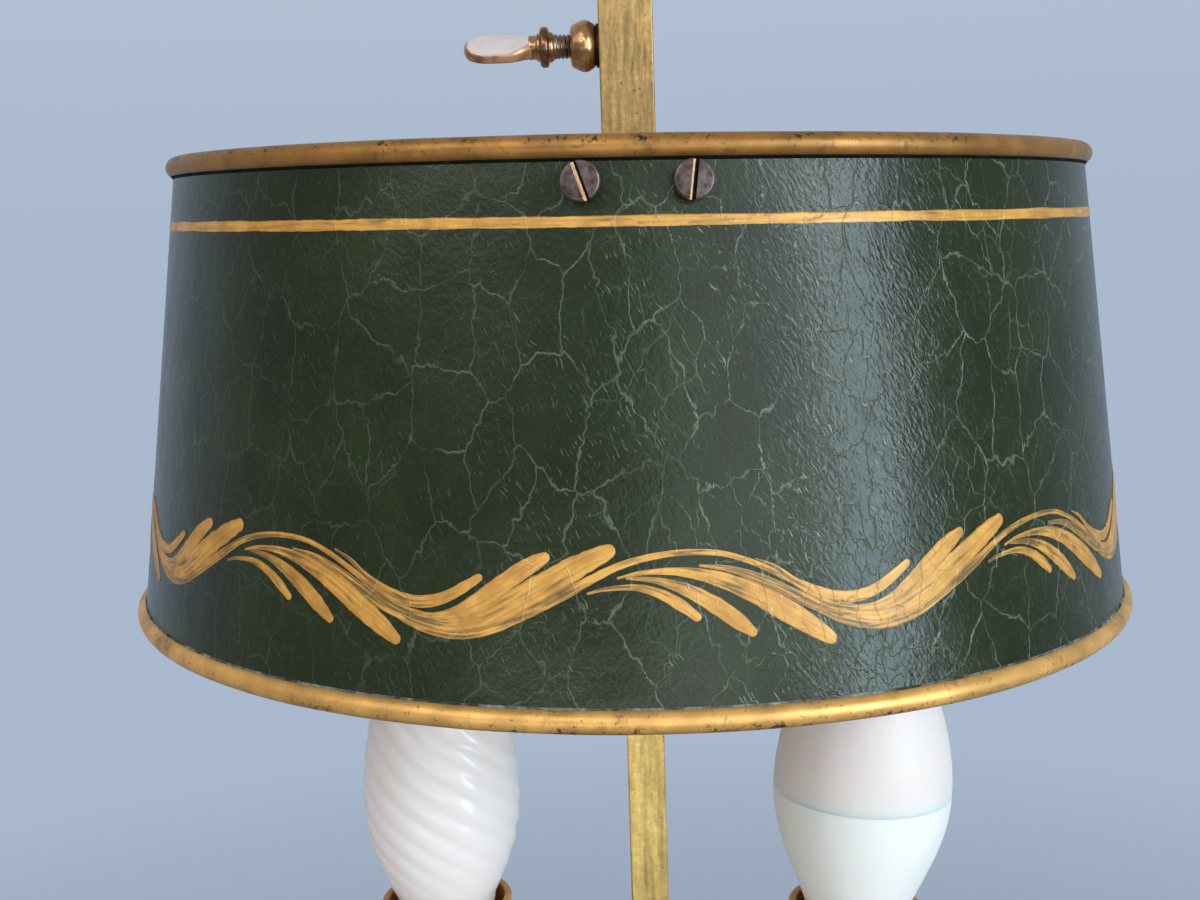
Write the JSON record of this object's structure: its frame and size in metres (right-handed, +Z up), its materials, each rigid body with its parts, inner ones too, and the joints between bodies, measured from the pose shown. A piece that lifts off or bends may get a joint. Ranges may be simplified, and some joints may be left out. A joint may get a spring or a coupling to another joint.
{
  "type": "table lamp",
  "caption": "Bouillotte table lamp: drum shade sliding on a square rod with a wing thumb screw, candle lights on scroll arms, turned column and weighted dish base.",
  "frame": {"origin": "centre of the base's flat underside", "axes": "+Z up along the column and rod, -Y towards the front, where two shade screws show, +X to the right, where the plastic bulb is"},
  "size_m": [0.2018, 0.2018, 0.4532],
  "materials": {
    "green_lacquer": "dark green crackled gloss lacquer",
    "gilt": "aged gilt paint, worn at the edges",
    "aged_brass": "dull brushed brass",
    "pale_brass": "brighter drawn brass",
    "bronze": "polished coppery bronze",
    "dark_screw": "dark burnished steel with coppery slots",
    "steel": "zinc plated",
    "cast_iron": "rough casting",
    "felt": "green felt",
    "black_plastic": "moulded, matt",
    "white_plastic": "moulded, glossy",
    "diffuser_plastic": "milky, satin",
    "frosted_glass": "frosted, twisted flutes",
    "clear_glass": "clear stem with wires",
    "tinned_metal": "tinned",
    "glazed_insulator": "black glass insulator",
    "board": "green circuit board",
    "lead_insulation": "smooth insulation"
  },
  "bodies": {
    "lamp": {"base_felt": "felt", "base_weight": "cast_iron", "base_dish": "aged_brass", "base_nut": "steel", "base_washer": "steel", "threaded_tube": "steel", "cord_gland": "black_plastic", "terminal_block": "white_plastic", "switch_body": "black_plastic", "switch_nut": "aged_brass", "switch_leads": "lead_insulation", "column": "aged_brass", "hub": "aged_brass", "hub_cap": "gilt", "rod": "pale_brass", "finial": "gilt", "carrying_ring": "gilt", "left_arm": "aged_brass", "left_nipple": "aged_brass", "left_drip_pan": "gilt", "left_cup": "gilt", "left_holder_body": "white_plastic", "left_holder_shell": "aged_brass", "left_holder_contact": "pale_brass", "left_leads": "lead_insulation", "right_arm": "aged_brass", "right_nipple": "aged_brass", "right_drip_pan": "gilt", "right_cup": "gilt", "right_holder_body": "white_plastic", "right_holder_shell": "aged_brass", "right_holder_contact": "pale_brass", "right_leads": "lead_insulation"},
    "switch_knob": {"switch_knob": "aged_brass"},
    "shade": {"shade_shell": "green_lacquer", "top_rim": "gilt", "bottom_rim": "gilt", "shade_bracket": "aged_brass", "sleeve": "aged_brass", "shade_screws": "dark_screw"},
    "thumb_pad": {"pressure_pad": "pale_brass"},
    "thumb_screw": {"thumb_screw": "bronze"},
    "left_bulb_tip": {"left_bulb_contact": "tinned_metal"},
    "left_bulb": {"left_bulb_insulator": "glazed_insulator", "left_bulb_cap": "pale_brass", "left_bulb_glass": "frosted_glass", "left_bulb_mount": "clear_glass"},
    "right_bulb_tip": {"right_bulb_contact": "tinned_metal"},
    "right_bulb": {"right_bulb_insulator": "glazed_insulator", "right_bulb_cap": "pale_brass", "right_bulb_housing": "white_plastic", "right_bulb_diffuser": "diffuser_plastic", "right_led_board": "tinned_metal", "right_driver_board": "board"}
  },
  "joints": [
    {"name": "switch_turn", "type": "hinge", "parent": "lamp", "child": "switch_knob", "pos_m": [0, -0.03, 0.025], "axis": [0, 0, 1], "continuous": true},
    {"name": "shade_slide", "type": "slide", "parent": "lamp", "child": "shade", "axis": [0, 0, 1], "range_m": [-0.09, 0.034]},
    {"name": "pad_slide", "type": "slide", "parent": "shade", "child": "thumb_pad", "axis": [-1, 0, 0], "range_m": [0, 0.0024]},
    {"name": "thumb_turn", "type": "hinge", "parent": "thumb_pad", "child": "thumb_screw", "pos_m": [-0.012, 0, 0.3529], "axis": [-1, 0, 0], "range_deg": [0, 1080]},
    {"name": "left_bulb_rise", "type": "slide", "parent": "lamp", "child": "left_bulb_tip", "axis": [0, 0, 1], "range_m": [0, 0.01411]},
    {"name": "left_bulb_turn", "type": "hinge", "parent": "left_bulb_tip", "child": "left_bulb", "pos_m": [-0.0453, 0.00677, 0.13003], "axis": [0, 0, 1], "range_deg": [0, 1800]},
    {"name": "right_bulb_rise", "type": "slide", "parent": "lamp", "child": "right_bulb_tip", "axis": [0.0535, -0.008, 0.9985], "range_m": [0, 0.01411]},
    {"name": "right_bulb_turn", "type": "hinge", "parent": "right_bulb_tip", "child": "right_bulb", "pos_m": [0.04208, -0.00629, 0.13144], "axis": [0.0535, -0.008, 0.9985], "range_deg": [0, 1800]}
  ],
  "couplings": [
    {"joint": "thumb_turn", "follows": "pad_slide", "rad_per_m": 7854},
    {"joint": "left_bulb_rise", "follows": "left_bulb_turn", "m_per_rad": 0.00044913},
    {"joint": "right_bulb_rise", "follows": "right_bulb_turn", "m_per_rad": 0.00044913}
  ]
}
